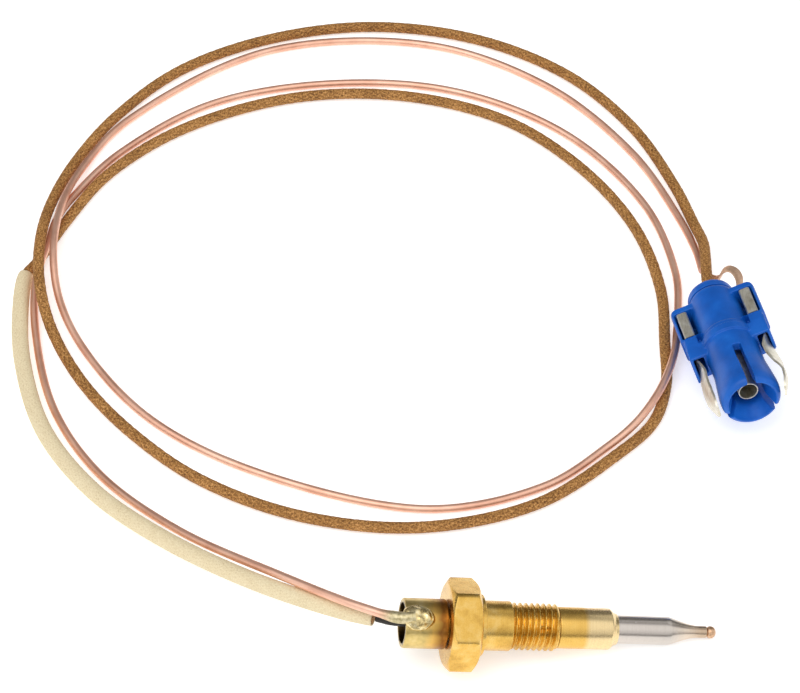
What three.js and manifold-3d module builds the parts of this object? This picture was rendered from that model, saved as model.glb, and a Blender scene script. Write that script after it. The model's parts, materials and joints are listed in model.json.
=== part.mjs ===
// A hob thermocouple: a brass gland and steel probe, a bare copper lead and a braided lead about
// 0.7 m long, and a two-clip plug housing.  Millimetres, +Z up, standing on the plane z = 0.
// +X runs along the probe towards its tip; the origin is under the middle of the probe head.
import * as THREE from "three";
import { mergeVertices } from "three/addons/utils/BufferGeometryUtils.js";
import Module from "manifold-3d";

const wasm = await Module();
wasm.setup();

// ---- Driving dimensions of the head, stations measured along its axis from the seating face ----
const HEX_AF = 14; // across the flats
const HEX_LENGTH = 5.1;
const COLLAR_RADIUS = 5.2;
const COLLAR_LENGTH = 1;
const SHANK_RADIUS = 4.2;
const SHANK_LENGTH = 4.9;
const THREAD_RADIUS = 4; // M8 x 1
const THREAD_PITCH = 1;
const THREAD_DEPTH = 0.54;
const THREAD_TURNS = 8;
const NOSE_RADIUS = 3.5;
const NOSE_LENGTH = 10.1;
const NOSE_CHAMFER = 1.1;
const CORE_RADIUS = 2.75; // the tube that the gland turns on
const RUNNING_GAP = 0.1;
const END_GAP = 0.2;
const SHEATH_RADIUS = 2.4;
const SHEATH_BORE = 2;
const TIP_RADIUS = 1.1;
const BEAD_RADIUS = 1.07;
const CUP_RADIUS = 4.2;
const CUP_BORE = 3.4;
const CUP_LENGTH = 7.2;
const CUP_FLOOR = 1.5;
const WIRE_RADIUS = 0.45;
const INSULATION_BORE = 0.6;

const HEX_REAR = -COLLAR_LENGTH - HEX_LENGTH;
const GLAND_END = SHANK_LENGTH + THREAD_TURNS * THREAD_PITCH;
const NOSE_START = GLAND_END + END_GAP;
const NOSE_END = NOSE_START + NOSE_LENGTH;
const CUP_FRONT = HEX_REAR - END_GAP;
const CUP_REAR = CUP_FRONT - CUP_LENGTH;
const CUP_INSIDE = CUP_FRONT - CUP_FLOOR;
const SHEATH_START = NOSE_START + 2;
const TAPER_START = NOSE_END + 9.1;
const TAPER_END = TAPER_START + 5.2;
const SHEATH_END = TAPER_END + 1.4;
const TIP_END = SHEATH_END + 1.8;

// ---- Driving dimensions of the plug housing: y runs back from the mating face of its flange ----
const REAR_RADIUS = 4.3;
const REAR_END = 16.1;
const BUSH_LENGTH = 1.9;
const BARREL_RADIUS = 4.85;
const BARREL_BORE = 3.1;
const BARREL_LENGTH = 14.3;
const LEG_RADIUS = 5.5; // the legs flare towards the front
const FLANGE_HALF_WIDTH = 7.7;
const FLANGE_THICKNESS = 4.2;
const EAR_HALF_WIDTH = 8.1;
const EAR_HALF_HEIGHT = 2.9;
const EAR_REAR = 12.7;
const EAR_BACK_WALL = 1.1;
const CHANNEL_INSIDE = 4.8; // the clip channel's walls, from the middle
const CHANNEL_OUTSIDE = 7.5;
const CONTACT_RADIUS = 1.8;
const CONTACT_BORE = 1.4;
const CLIP_THICKNESS = 0.4;
const CLIP_HALF_HEIGHT = 1.7;
const CONTACT_REACH = 11.3;
const PLUG_PLACE = [38.5, 56.6]; // under the middle of the flange's mating face
const PLUG_LIFT = 1.6; // its left ear lies on the copper lead
const PLUG_YAW = THREE.MathUtils.degToRad(5);
const PLUG_PITCH = THREE.MathUtils.degToRad(-8);
const PLUG_ROLL = THREE.MathUtils.degToRad(-19);

// ---- Driving dimensions of the leads ----
const BRAID_RADIUS = 1.05;
const COPPER_RADIUS = 0.75;
const HEAT_SLEEVE_RADIUS = 1.55;
const HEAT_SLEEVE_BORE = 1.2;
const LEAD_CORE_RADIUS = 0.65;
const GROUND_GAP = 0.05;

const ROUND = 32; // facets round a turned piece
const FINE_ROUND = 16; // facets round a wire or a small bush

const PLASTIC = { color: 0x1d5fc4, roughness: 0.45, metalness: 0 };
const BRASS = { color: 0xd9a441, roughness: 0.3, metalness: 1 };
const STEEL = { color: 0xc9c2b8, roughness: 0.3, metalness: 1 };
const COPPER = { color: 0xd08c70, roughness: 0.3, metalness: 1 };
const BRAID = { color: 0xa5733c, roughness: 0.9, metalness: 0 };
const CREAM = { color: 0xebdcb9, roughness: 0.9, metalness: 0 };
const CERAMIC = { color: 0xf0ece2, roughness: 0.6, metalness: 0 };
const DARK = { color: 0x25211d, roughness: 0.8, metalness: 0 };

function mesh(name, geometry, finish) {
  const made = new THREE.Mesh(geometry, new THREE.MeshStandardMaterial(finish));
  made.name = name;
  return made;
}

// ---- Solids ----
function solid(geometry) {
  const bare = new THREE.BufferGeometry();
  const source = geometry.index ? geometry.toNonIndexed() : geometry;
  bare.setAttribute("position", source.getAttribute("position"));
  const merged = mergeVertices(bare, 1e-4);
  return new wasm.Manifold(
    new wasm.Mesh({
      numProp: 3,
      vertProperties: merged.attributes.position.array,
      triVerts: new Uint32Array(merged.index.array),
    }),
  );
}

function geometryOf(manifold) {
  const { vertProperties, triVerts } = manifold.getMesh();
  const made = new THREE.BufferGeometry();
  made.setAttribute("position", new THREE.BufferAttribute(vertProperties, 3));
  made.setIndex(new THREE.BufferAttribute(triVerts, 1));
  return made;
}

// A turned piece: the profile is a list of [radius, station] from the low end to the high end.
function turned(profile, facets = ROUND) {
  const points = profile.map(([radius, station]) => new THREE.Vector2(radius, station));
  return new THREE.LatheGeometry(points, facets);
}

// A turned tube: the outer profile from low to high, then the bore from high to low.
function turnedTube(outer, bore, facets = ROUND) {
  return turned([...outer, ...bore, outer[0]], facets);
}

function plainTube(outerRadius, boreRadius, low, high, facets = ROUND) {
  const outer = [[outerRadius, low], [outerRadius, high]];
  const bore = [[boreRadius, high], [boreRadius, low]];
  return turnedTube(outer, bore, facets);
}

function rod(radius, low, high, facets = FINE_ROUND) {
  return turned([[0, low], [radius, low], [radius, high], [0, high]], facets);
}

// Turned pieces are made about Y; on the head that axis lies along +X.
function alongX(geometry) {
  return geometry.rotateZ(-Math.PI / 2);
}

function block(low, high) {
  const size = high.map((value, i) => value - low[i]);
  const middle = high.map((value, i) => (value + low[i]) / 2);
  return new THREE.BoxGeometry(...size).translate(...middle);
}

// ---- The gland: hex, seating collar, plain shank and thread, free to turn on the core tube ----
function gland() {
  const corner = HEX_AF / Math.sqrt(3);
  const outline = new THREE.Shape();
  for (let i = 0; i < 6; i += 1) {
    const angle = (i * Math.PI) / 3;
    outline.lineTo(corner * Math.cos(angle), corner * Math.sin(angle));
  }
  outline.curves.shift();
  outline.closePath();
  const hexBlank = new THREE.ExtrudeGeometry(outline, { depth: HEX_LENGTH, bevelEnabled: false });
  hexBlank.rotateY(Math.PI / 2).translate(HEX_REAR, 0, 0);

  const faceRadius = HEX_AF / 2 - 0.1;
  const chamfer = 0.9;
  const chamferCone = turned([
    [0, HEX_REAR - 0.01],
    [faceRadius, HEX_REAR - 0.01],
    [corner + 0.2, HEX_REAR + chamfer],
    [corner + 0.2, -COLLAR_LENGTH - chamfer],
    [faceRadius, -COLLAR_LENGTH + 0.01],
    [0, -COLLAR_LENGTH + 0.01],
  ]);

  const stem = [
    [0, HEX_REAR + 1],
    [SHANK_RADIUS, HEX_REAR + 1],
    [SHANK_RADIUS, -COLLAR_LENGTH - 0.5],
    [COLLAR_RADIUS, -COLLAR_LENGTH - 0.5],
    [COLLAR_RADIUS, 0],
    [SHANK_RADIUS, 0],
    [SHANK_RADIUS, SHANK_LENGTH],
  ];
  for (let turn = 0; turn < THREAD_TURNS; turn += 1) {
    const start = SHANK_LENGTH + turn * THREAD_PITCH;
    stem.push([THREAD_RADIUS - THREAD_DEPTH, start + 0.1]);
    stem.push([THREAD_RADIUS, start + 0.5 * THREAD_PITCH]);
    stem.push([THREAD_RADIUS, start + 0.6 * THREAD_PITCH]);
  }
  stem.push([THREAD_RADIUS - THREAD_DEPTH, GLAND_END], [0, GLAND_END]);

  const bore = rod(CORE_RADIUS + RUNNING_GAP, HEX_REAR - 1, GLAND_END + 1, ROUND);
  return solid(hexBlank)
    .intersect(solid(alongX(chamferCone)))
    .add(solid(alongX(turned(stem))))
    .subtract(solid(alongX(bore)));
}

// ---- The core tube that runs through the gland and ends in the brass nose ----
function noseSleeve() {
  const flare = 0.4;
  const wireBore = 1.7;
  const outer = [
    [CORE_RADIUS + 0.4, CUP_INSIDE - flare - 0.1],
    [CORE_RADIUS + 0.4, CUP_INSIDE - 0.1],
    [CORE_RADIUS, CUP_INSIDE - 0.1],
    [CORE_RADIUS, NOSE_START],
    [NOSE_RADIUS, NOSE_START],
    [NOSE_RADIUS, NOSE_END - NOSE_CHAMFER],
    [SHEATH_RADIUS + 0.45, NOSE_END],
  ];
  const socket = SHEATH_RADIUS + RUNNING_GAP;
  const bore = [
    [socket, NOSE_END],
    [socket, SHEATH_START - END_GAP],
    [wireBore, SHEATH_START - END_GAP],
    [wireBore, CUP_INSIDE - flare - 0.1],
  ];
  return alongX(turnedTube(outer, bore));
}

// ---- The steel probe: a straight sheath drawn down to a fine neck ----
function probeSheath() {
  const outer = [[SHEATH_RADIUS, SHEATH_START], [SHEATH_RADIUS, TAPER_START]];
  const steps = 6;
  for (let i = 1; i <= steps; i += 1) {
    const t = i / steps;
    const ease = 1 - (1 - t) ** 1.6;
    const radius = SHEATH_RADIUS + (TIP_RADIUS - SHEATH_RADIUS) * ease;
    outer.push([radius, TAPER_START + (TAPER_END - TAPER_START) * t]);
  }
  outer.push([TIP_RADIUS, SHEATH_END]);
  const bore = [
    [INSULATION_BORE, SHEATH_END],
    [INSULATION_BORE, TAPER_END - 1],
    [SHEATH_BORE, TAPER_START - 0.5],
    [SHEATH_BORE, SHEATH_START],
  ];
  return alongX(turnedTube(outer, bore));
}

function hotJunctionBead() {
  const start = SHEATH_END + 0.05;
  const profile = [
    [0, start],
    [BEAD_RADIUS * 0.85, start],
    [BEAD_RADIUS, start + 0.4],
    [BEAD_RADIUS, TIP_END - 0.6],
    [BEAD_RADIUS * 0.75, TIP_END - 0.15],
    [0, TIP_END],
  ];
  return alongX(turned(profile, FINE_ROUND));
}

// ---- The brass cup behind the gland, notched where the copper lead comes in ----
const ENTRY_TILT = THREE.MathUtils.degToRad(24); // from straight up towards -Y

function rearCup() {
  const edge = 0.4;
  const outer = [
    [CUP_BORE + 0.15, CUP_REAR],
    [CUP_RADIUS - 0.1, CUP_REAR + 0.1],
    [CUP_RADIUS, CUP_REAR + edge],
    [CUP_RADIUS, CUP_FRONT],
  ];
  const hole = CORE_RADIUS + RUNNING_GAP;
  const bore = [[hole, CUP_FRONT], [hole, CUP_INSIDE], [CUP_BORE, CUP_INSIDE], [CUP_BORE, CUP_REAR]];
  const notch = block([CUP_REAR - 1, -1, CUP_BORE - 0.6], [CUP_REAR + 2.6, 1, CUP_RADIUS + 1]);
  notch.rotateX(ENTRY_TILT);
  return solid(alongX(turnedTube(outer, bore))).subtract(solid(notch));
}

// The braze that joins the copper lead to the cup: a domed oval lying on the cup's side.
function brazeJoint() {
  const dome = new THREE.SphereGeometry(1, 24, 16).scale(2.7, 2.2, 1.25);
  dome.translate(CUP_REAR + 3, 0, CUP_RADIUS - 0.25).rotateX(ENTRY_TILT);
  const cupSide = rod(CUP_RADIUS + 0.06, CUP_REAR - 2, CUP_FRONT + 2, ROUND);
  return solid(dome).subtract(solid(alongX(cupSide)));
}

function probeHead() {
  const head = new THREE.Group();
  const wireEnd = SHEATH_END - 0.1;
  const spliceStart = CUP_INSIDE + 0.2;
  const spliceEnd = spliceStart + 4;
  const rearInsulator = plainTube(1.55, INSULATION_BORE, spliceEnd + 0.3, SHEATH_START - 0.4, FINE_ROUND);
  const frontInsulator = plainTube(1.85, INSULATION_BORE, SHEATH_START, TAPER_START - 0.7, FINE_ROUND);
  const splice = plainTube(1.1, 0.75, spliceStart, spliceEnd, FINE_ROUND);
  const bush = plainTube(CUP_BORE - 0.1, 0.85, CUP_REAR + 2.8, CUP_INSIDE - 0.7, ROUND);
  head.add(mesh("gland_nut", geometryOf(gland()), BRASS));
  head.add(mesh("nose_sleeve", noseSleeve(), BRASS));
  head.add(mesh("rear_cup", geometryOf(rearCup()), BRASS));
  head.add(mesh("braze_joint", geometryOf(brazeJoint()), { ...BRASS, color: 0xe6d49a }));
  head.add(mesh("cup_bush", alongX(bush), DARK));
  head.add(mesh("splice_crimp", alongX(splice), STEEL));
  head.add(mesh("inner_wire", alongX(rod(WIRE_RADIUS, spliceEnd - 1.6, wireEnd)), STEEL));
  head.add(mesh("rear_insulator", alongX(rearInsulator), CERAMIC));
  head.add(mesh("front_insulator", alongX(frontInsulator), CERAMIC));
  head.add(mesh("probe_sheath", probeSheath(), STEEL));
  head.add(mesh("hot_junction_bead", hotJunctionBead(), { ...COPPER, color: 0xbe8c64 }));

  // The head lies on one corner of its hex and on its tip, so it dips towards the tip.
  const corner = HEX_AF / Math.sqrt(3);
  const cornerStation = -COLLAR_LENGTH - 0.8;
  head.rotation.y = Math.atan((corner - BEAD_RADIUS) / (TIP_END - 0.6 - cornerStation));
  head.updateMatrixWorld(true);
  const box = new THREE.Box3().setFromObject(head, true);
  head.position.set(-(box.min.x + box.max.x) / 2, -(box.min.y + box.max.y) / 2, -box.min.z);
  return head;
}

// ---- The plug housing ----
// Its rear barrel carries two ears with a clip channel each; its front barrel is split into legs.
const SLOT_ANGLES = [14, 134, 254].map(THREE.MathUtils.degToRad); // from the top, clockwise from the front

function roundedPlate(halfWidth, halfHeight, corner) {
  const shape = new THREE.Shape();
  const quarter = Math.PI / 2;
  const centres = [[1, 1], [-1, 1], [-1, -1], [1, -1]];
  centres.forEach(([sx, sz], i) => {
    const x = sx * (halfWidth - corner);
    const z = sz * (halfHeight - corner);
    shape.absarc(x, z, corner, i * quarter, (i + 1) * quarter, false);
  });
  shape.closePath();
  return shape;
}

function plate(shape, low, high) {
  const options = { depth: high - low, bevelEnabled: false, curveSegments: 4 };
  const made = new THREE.ExtrudeGeometry(shape, options);
  return made.rotateX(Math.PI / 2).translate(0, high, 0);
}

function housing() {
  const flange = roundedPlate(FLANGE_HALF_WIDTH, EAR_HALF_HEIGHT, 1);
  const ears = roundedPlate(EAR_HALF_WIDTH, EAR_HALF_HEIGHT, 1);
  let made = solid(plate(flange, 0, FLANGE_THICKNESS + 0.5));
  made = made.add(solid(plate(ears, FLANGE_THICKNESS, EAR_REAR)));
  made = made.add(solid(rod(BARREL_RADIUS + 0.7, 0, FLANGE_THICKNESS, ROUND)));
  const barrel = [
    [0, -BARREL_LENGTH],
    [LEG_RADIUS - 0.9, -BARREL_LENGTH],
    [LEG_RADIUS - 0.2, -BARREL_LENGTH + 0.7],
    [LEG_RADIUS, -BARREL_LENGTH + 2.2],
    [LEG_RADIUS - 0.2, -BARREL_LENGTH + 4.5],
    [BARREL_RADIUS, -BARREL_LENGTH + 8.5],
    [BARREL_RADIUS, 0.5],
    [REAR_RADIUS, 0.5],
    [REAR_RADIUS, REAR_END - BUSH_LENGTH - END_GAP],
    [0, REAR_END - BUSH_LENGTH - END_GAP],
  ];
  made = made.add(solid(turned(barrel)));

  const funnel = [
    [0, -BARREL_LENGTH - 1],
    [BARREL_RADIUS - 0.4, -BARREL_LENGTH - 1],
    [BARREL_RADIUS - 0.6, -BARREL_LENGTH + 0.4],
    [BARREL_BORE, -BARREL_LENGTH + 2.8],
    [BARREL_BORE, -FLANGE_THICKNESS],
    [CONTACT_RADIUS + RUNNING_GAP, -FLANGE_THICKNESS],
    [CONTACT_RADIUS + RUNNING_GAP, REAR_END],
    [0, REAR_END],
  ];
  made = made.subtract(solid(turned(funnel)));

  for (const angle of SLOT_ANGLES) {
    const slot = block([-0.85, -BARREL_LENGTH - 1, 1.5], [0.85, -3.5, BARREL_RADIUS + 2]);
    made = made.subtract(solid(slot.rotateY(angle)));
  }
  for (const side of [-1, 1]) {
    const low = side > 0 ? CHANNEL_INSIDE : -CHANNEL_OUTSIDE;
    const high = side > 0 ? CHANNEL_OUTSIDE : -CHANNEL_INSIDE;
    const channel = block(
      [low, FLANGE_THICKNESS, -EAR_HALF_HEIGHT + 0.6],
      [high, EAR_REAR - EAR_BACK_WALL, EAR_HALF_HEIGHT + 1],
    );
    const mouthHeight = CLIP_HALF_HEIGHT + 0.3;
    const mouth = block([low + 0.3, -1, -mouthHeight], [high - 0.3, FLANGE_THICKNESS + 1, mouthHeight]);
    made = made.subtract(solid(channel)).subtract(solid(mouth));
  }
  return made;
}

// ---- A spring clip: a folded seat in the ear's channel and a blade bowed out beside the barrel ----
const SEAT_FRONT = 5.8;
const SEAT_REAR = 11.3;
const SEAT_INSIDE = 5.3;
const SEAT_OUTSIDE = 7.1;

function springClip(side) {
  // The blade's middle line, from the seat forwards: [distance from the middle, y].
  const half = CLIP_THICKNESS / 2;
  const bow = [[SEAT_OUTSIDE - half, 2], [6.6, -1], [7.1, -4], [7.4, -7.5], [7.1, -10.5], [6.4, -13]];
  const curve = new THREE.SplineCurve(bow.map(([x, y]) => new THREE.Vector2(x, y)));
  const middle = [new THREE.Vector2(SEAT_OUTSIDE - half, SEAT_REAR), ...curve.getPoints(15)];
  const shape = new THREE.Shape();
  const offset = (sign) =>
    middle.map((point, i) => {
      const before = middle[Math.max(i - 1, 0)];
      const after = middle[Math.min(i + 1, middle.length - 1)];
      const along = after.clone().sub(before).normalize();
      return new THREE.Vector2(point.x - sign * half * along.y, point.y + sign * half * along.x);
    });
  shape.setFromPoints([...offset(1), ...offset(-1).reverse()]);
  const options = { depth: 2 * CLIP_HALF_HEIGHT, bevelEnabled: false };
  const blade = new THREE.ExtrudeGeometry(shape, options).translate(0, 0, -CLIP_HALF_HEIGHT);
  const roof = EAR_HALF_HEIGHT - 0.3;
  const seat = solid(block([SEAT_INSIDE, SEAT_FRONT, -CLIP_HALF_HEIGHT], [SEAT_OUTSIDE, SEAT_REAR, roof]));
  const hollow = block(
    [SEAT_INSIDE + CLIP_THICKNESS, SEAT_FRONT - 1, -EAR_HALF_HEIGHT],
    [SEAT_OUTSIDE - CLIP_THICKNESS, SEAT_REAR + 1, roof - CLIP_THICKNESS],
  );
  const made = solid(blade).add(seat.subtract(solid(hollow)));
  const geometry = geometryOf(made);
  if (side > 0) return geometry;
  const mirrored = geometry.scale(-1, 1, 1);
  const order = mirrored.index.array;
  for (let i = 0; i < order.length; i += 3) [order[i], order[i + 1]] = [order[i + 1], order[i]];
  return mirrored;
}

function rearBush() {
  const edge = 0.6;
  const start = REAR_END - BUSH_LENGTH;
  const outer = [
    [REAR_RADIUS - 0.05, start],
    [REAR_RADIUS - 0.05, REAR_END - edge],
    [REAR_RADIUS - 0.2, REAR_END - 0.2],
    [REAR_RADIUS - edge, REAR_END],
  ];
  const bore = [[LEAD_CORE_RADIUS + 0.2, REAR_END], [LEAD_CORE_RADIUS + 0.2, start]];
  return turnedTube(outer, bore);
}

function plug() {
  const made = new THREE.Group();
  const crimp = plainTube(1.4, LEAD_CORE_RADIUS + 0.15, 4.2, 9.2, FINE_ROUND);
  const contact = plainTube(CONTACT_RADIUS, CONTACT_BORE, -CONTACT_REACH, 4, 24);
  made.add(mesh("connector_housing", geometryOf(housing()), PLASTIC));
  made.add(mesh("connector_rear_bush", rearBush(), PLASTIC));
  made.add(mesh("contact_tube", contact, STEEL));
  made.add(mesh("contact_crimp", crimp, STEEL));
  made.add(mesh("lead_core_front", rod(LEAD_CORE_RADIUS, 5, REAR_END + 0.1), COPPER));
  made.add(mesh("spring_clip_right", springClip(1), STEEL));
  made.add(mesh("spring_clip_left", springClip(-1), STEEL));
  made.rotation.set(PLUG_PITCH, PLUG_ROLL, PLUG_YAW, "ZXY");
  made.position.set(...PLUG_PLACE, 0);
  made.updateMatrixWorld(true);
  made.position.z = PLUG_LIFT - new THREE.Box3().setFromObject(made, true).min.z;
  return made;
}

// ---- The leads: routes from the plug to the head, as [x, y] on the ground or [x, y, z] above it ----
const BRAIDED_ROUTE = [
  [37.4, 72.8, 6.2], [37.3, 76.5, 6], [38.1, 83, 4.7], [38.7, 89, 3.2], [38, 95.5, 1.8],
  [35.9, 107], [30, 124], [19, 140], [2, 152], [-19, 157.6],
  [-40, 155.6], [-58, 148], [-71, 136], [-79, 124.3, 1.2], [-83.8, 112, 2.8],
  [-86.1, 99.5, 5.2], [-86.5, 88.8, 4.8], [-84.6, 78.5, 2.7], [-79.5, 66.5, 1.2], [-71, 53.6],
  [-58.7, 41], [-41.4, 31.2], [-20.8, 26.9], [0, 30.3], [15.8, 40.4],
  [23.2, 47.2], [26.8, 55.8], [28.1, 66], [29.3, 80], [26.5, 97],
  [18, 114], [5, 128], [-14, 136.5], [-36, 137.9], [-58, 131],
  [-73, 119.7], [-81.5, 107.4], [-87.2, 96.7, 1.2],
];
const SLEEVE_ROUTE = [
  [-89.2, 93.3, 1.5], [-90.3, 84, 1.7], [-89.9, 71, 1.7], [-86.2, 54.5, 1.7], [-77.8, 39.5, 2.2],
  [-66, 26.3, 4.1], [-51, 13.5, 6.9], [-37, 4.7, 8.8], [-31, 2, 9.3],
];
const COPPER_ROUTE = [
  [37.5, 82.2, 2.8], [37.4, 88.5, 1.5], [35.4, 99], [29, 117], [14.5, 137.5],
  [-8, 151.5], [-40, 152.5], [-68.8, 134.7, 0.9], [-78.3, 120.8, 1.7], [-82.3, 108, 4.4],
  [-83.8, 96, 5], [-83, 85.7, 2.6], [-78.7, 74, 1], [-66.9, 56], [-48, 41.8],
  [-19, 31.1], [2, 34.5], [14, 42.2, 1], [19.5, 46.2, 2.1], [23.6, 50.7, 3.1],
  [27.2, 57, 3.1], [29.6, 63.5, 2.4], [30.7, 68.5, 0.9], [31.8, 74], [32.8, 84],
  [29.5, 102.5], [16.5, 123.5], [-4, 137.4], [-28, 141.7], [-52, 138],
  [-70.8, 125.5], [-80, 113.5, 1.6], [-83, 107, 2.8], [-85.2, 99, 3.1], [-87.4, 90, 2.4],
  [-87.4, 77, 1], [-84.2, 59.5], [-76.5, 44, 1], [-63, 27.6, 4.1], [-46.3, 12.6, 9],
  [-33.3, 2, 12.6], [-26.8, -1.5, 13.4],
];
const CORE_ROUTE = [[-30.5, 1.75, 9.35], [-28.6, 0.6, 9.8], [-26.4, 0, 9.93], [-23.5, 0, 9.44]];
const TAIL_ROUTE = [
  [37.7, 81.6, 2.7], [38.9, 79.6, 3.3], [39.9, 78, 5.2], [40.2, 77.2, 7.6],
  [40.9, 76.4, 9.1], [41.8, 75, 9.9], [42.3, 73, 10.1], [42.1, 70.7, 9.8],
];

// A route lies on the ground wherever its points give no height.
function routeCurve(points, radius) {
  const places = points.map(([x, y, z]) => new THREE.Vector3(x, y, z ?? radius + GROUND_GAP));
  const curve = new THREE.CatmullRomCurve3(places, false, "centripetal");
  curve.arcLengthDivisions = 2000;
  return curve;
}

// Part of a curve, from one share of its length to another.
class Stretch extends THREE.Curve {
  constructor(whole, from, to) {
    super();
    this.whole = whole;
    this.from = from;
    this.to = to;
  }

  getPoint(t, target = new THREE.Vector3()) {
    return this.whole.getPointAt(this.from + (this.to - this.from) * t, target);
  }
}

function section(radiusX, radiusY = radiusX) {
  const sides = 8;
  const points = [];
  for (let i = 0; i < sides; i += 1) {
    const angle = ((i + 0.5) * 2 * Math.PI) / sides;
    points.push(new THREE.Vector2(radiusX * Math.cos(angle), radiusY * Math.sin(angle)));
  }
  return points;
}

function tube(curve, outline, steps, hole = null) {
  const shape = new THREE.Shape(outline);
  if (hole) shape.holes.push(new THREE.Path(hole));
  return new THREE.ExtrudeGeometry(shape, { steps, extrudePath: curve });
}

function leads() {
  const made = new THREE.Group();
  const whole = routeCurve([...BRAIDED_ROUTE, ...SLEEVE_ROUTE], BRAID_RADIUS);
  const sleeve = routeCurve(SLEEVE_ROUTE, HEAT_SLEEVE_RADIUS);
  const entry = 1 - sleeve.getLength() / whole.getLength();
  const free = new Stretch(whole, 0, entry - 0.0006);
  const covered = new Stretch(whole, entry, 1);
  const copper = routeCurve(COPPER_ROUTE, COPPER_RADIUS);
  const hollow = section(HEAT_SLEEVE_BORE);
  made.add(mesh("insulated_lead", tube(free, section(BRAID_RADIUS), 78), BRAID));
  made.add(mesh("heat_sleeve", tube(covered, section(HEAT_SLEEVE_RADIUS), 12, hollow), CREAM));
  made.add(mesh("lead_in_sleeve", tube(covered, section(BRAID_RADIUS), 12), BRAID));
  made.add(mesh("lead_core_rear", tube(routeCurve(CORE_ROUTE), section(LEAD_CORE_RADIUS), 10), DARK));
  made.add(mesh("copper_lead", tube(copper, section(COPPER_RADIUS), 80), COPPER));
  made.add(mesh("ground_tail", tube(routeCurve(TAIL_ROUTE), section(0.9, 0.35), 14), COPPER));
  return made;
}

const thermocouple = new THREE.Group();
thermocouple.add(probeHead(), plug(), leads());

export default thermocouple;
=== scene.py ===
"""The looks of a hob thermocouple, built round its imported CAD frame.

Lengths are in millimetres until a mesh is made, and metres from there on.
"""
import json
import math

import bmesh
import bpy
import numpy as np
from mathutils import Matrix, Vector, noise


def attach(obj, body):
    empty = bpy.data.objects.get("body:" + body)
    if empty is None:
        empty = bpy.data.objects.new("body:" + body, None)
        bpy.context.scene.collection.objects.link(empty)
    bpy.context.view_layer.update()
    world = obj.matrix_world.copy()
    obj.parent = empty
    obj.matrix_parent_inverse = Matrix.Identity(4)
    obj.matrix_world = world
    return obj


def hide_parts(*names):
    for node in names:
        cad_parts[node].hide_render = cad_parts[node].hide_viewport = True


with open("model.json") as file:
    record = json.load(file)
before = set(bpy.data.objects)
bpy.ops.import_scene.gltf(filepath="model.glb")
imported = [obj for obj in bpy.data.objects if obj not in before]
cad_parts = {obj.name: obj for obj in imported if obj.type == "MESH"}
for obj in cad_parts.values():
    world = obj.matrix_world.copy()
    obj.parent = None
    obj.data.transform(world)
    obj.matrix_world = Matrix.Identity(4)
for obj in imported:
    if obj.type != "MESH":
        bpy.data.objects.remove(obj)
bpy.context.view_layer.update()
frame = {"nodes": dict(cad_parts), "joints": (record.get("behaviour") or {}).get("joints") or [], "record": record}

MM = 0.001
joints = {joint["name"]: joint for joint in frame["joints"]}
mounts = {mount["name"]: mount for mount in frame["record"]["mounts"]}


# ---- Shader nodes ----
def fill_ramp(ramp, stops):
    elements = ramp.color_ramp.elements
    while len(elements) > 1:
        elements.remove(elements[-1])
    elements[0].position = stops[0][0]
    elements[0].color = (*stops[0][1], 1)
    for position, colour in stops[1:]:
        elements.new(position).color = (*colour, 1)


def feed(tree, socket, value):
    """Links a socket to another, or gives it a number, a vector or a colour."""
    if isinstance(value, bpy.types.NodeSocket):
        tree.links.new(value, socket)
    else:
        socket.default_value = (*value, 1) if socket.type == "RGBA" else value


def add_node(tree, kind, inputs, **settings):
    node = tree.nodes.new("ShaderNode" + kind)
    for name, value in settings.items():
        setattr(node, name, value)
    for socket, value in inputs.items():
        feed(tree, node.inputs[socket], value)
    return node


class Surface:
    """A material with one Principled shader, and short calls for the nodes that feed it."""

    def __init__(self, name, roughness, metallic=0.0, specular=0.5):
        self.material = bpy.data.materials.new(name)
        self.material.use_nodes = True
        self.tree = self.material.node_tree
        self.shader = self.tree.nodes["Principled BSDF"]
        self.shade(Roughness=roughness, Metallic=metallic, Specular_IOR_Level=specular)
        self.place = self.node("TexCoord").outputs["Object"]
        self.uv = self.node("UVMap", uv_map="UVMap").outputs[0]

    def shade(self, **values):
        for socket, value in values.items():
            feed(self.tree, self.shader.inputs[socket.replace("_", " ")], value)

    def node(self, kind, inputs=None, **settings):
        return add_node(self.tree, kind, inputs or {}, **settings)

    def noise(self, size, detail=3.0, rough=0.6, source=None, stretch=None):
        """Noise with features of the given size in millimetres."""
        source = source or self.place
        if stretch:
            source = self.node("Mapping", {"Vector": source, "Scale": stretch}).outputs[0]
        made = self.node("TexNoise", {"Vector": source, "Scale": 1 / (size * MM), "Detail": detail,
                                      "Roughness": rough})
        return made.outputs["Fac"]

    def attribute(self, name):
        return self.node("Attribute", attribute_name=name).outputs["Fac"]

    def along(self):
        """The distance along a turned or swept piece, in millimetres."""
        return self.node("SeparateXYZ", {0: self.uv}).outputs["Y"]

    def math(self, operation, a, b, clamp=False):
        return self.node("Math", {0: a, 1: b}, operation=operation, use_clamp=clamp).outputs[0]

    def ramp(self, factor, stops):
        node = self.node("ValToRGB", {0: factor})
        fill_ramp(node, stops)
        return node.outputs["Color"]

    def mix(self, share, a, b, blend="MIX"):
        return self.node("Mix", {0: share, 6: a, 7: b}, data_type="RGBA", blend_type=blend).outputs[2]

    def shaded(self, colour, marks, stops):
        """A colour multiplied by a ramp over some marks."""
        return self.mix(1.0, colour, self.ramp(marks, stops), "MULTIPLY")

    def finish(self, colour, gloss, grain, depth):
        """Sets the colour, the roughness as (source, low, high) or None, and a bump in millimetres."""
        bump = self.node("Bump", {"Strength": 1.0, "Distance": depth * MM, "Height": grain})
        self.shade(Base_Color=colour, Normal=bump.outputs[0])
        if gloss:
            source, low, high = gloss
            spread = self.node("MapRange", {"Value": source, "To Min": low, "To Max": high})
            self.shade(Roughness=spread.outputs[0])
        return self.material


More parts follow.
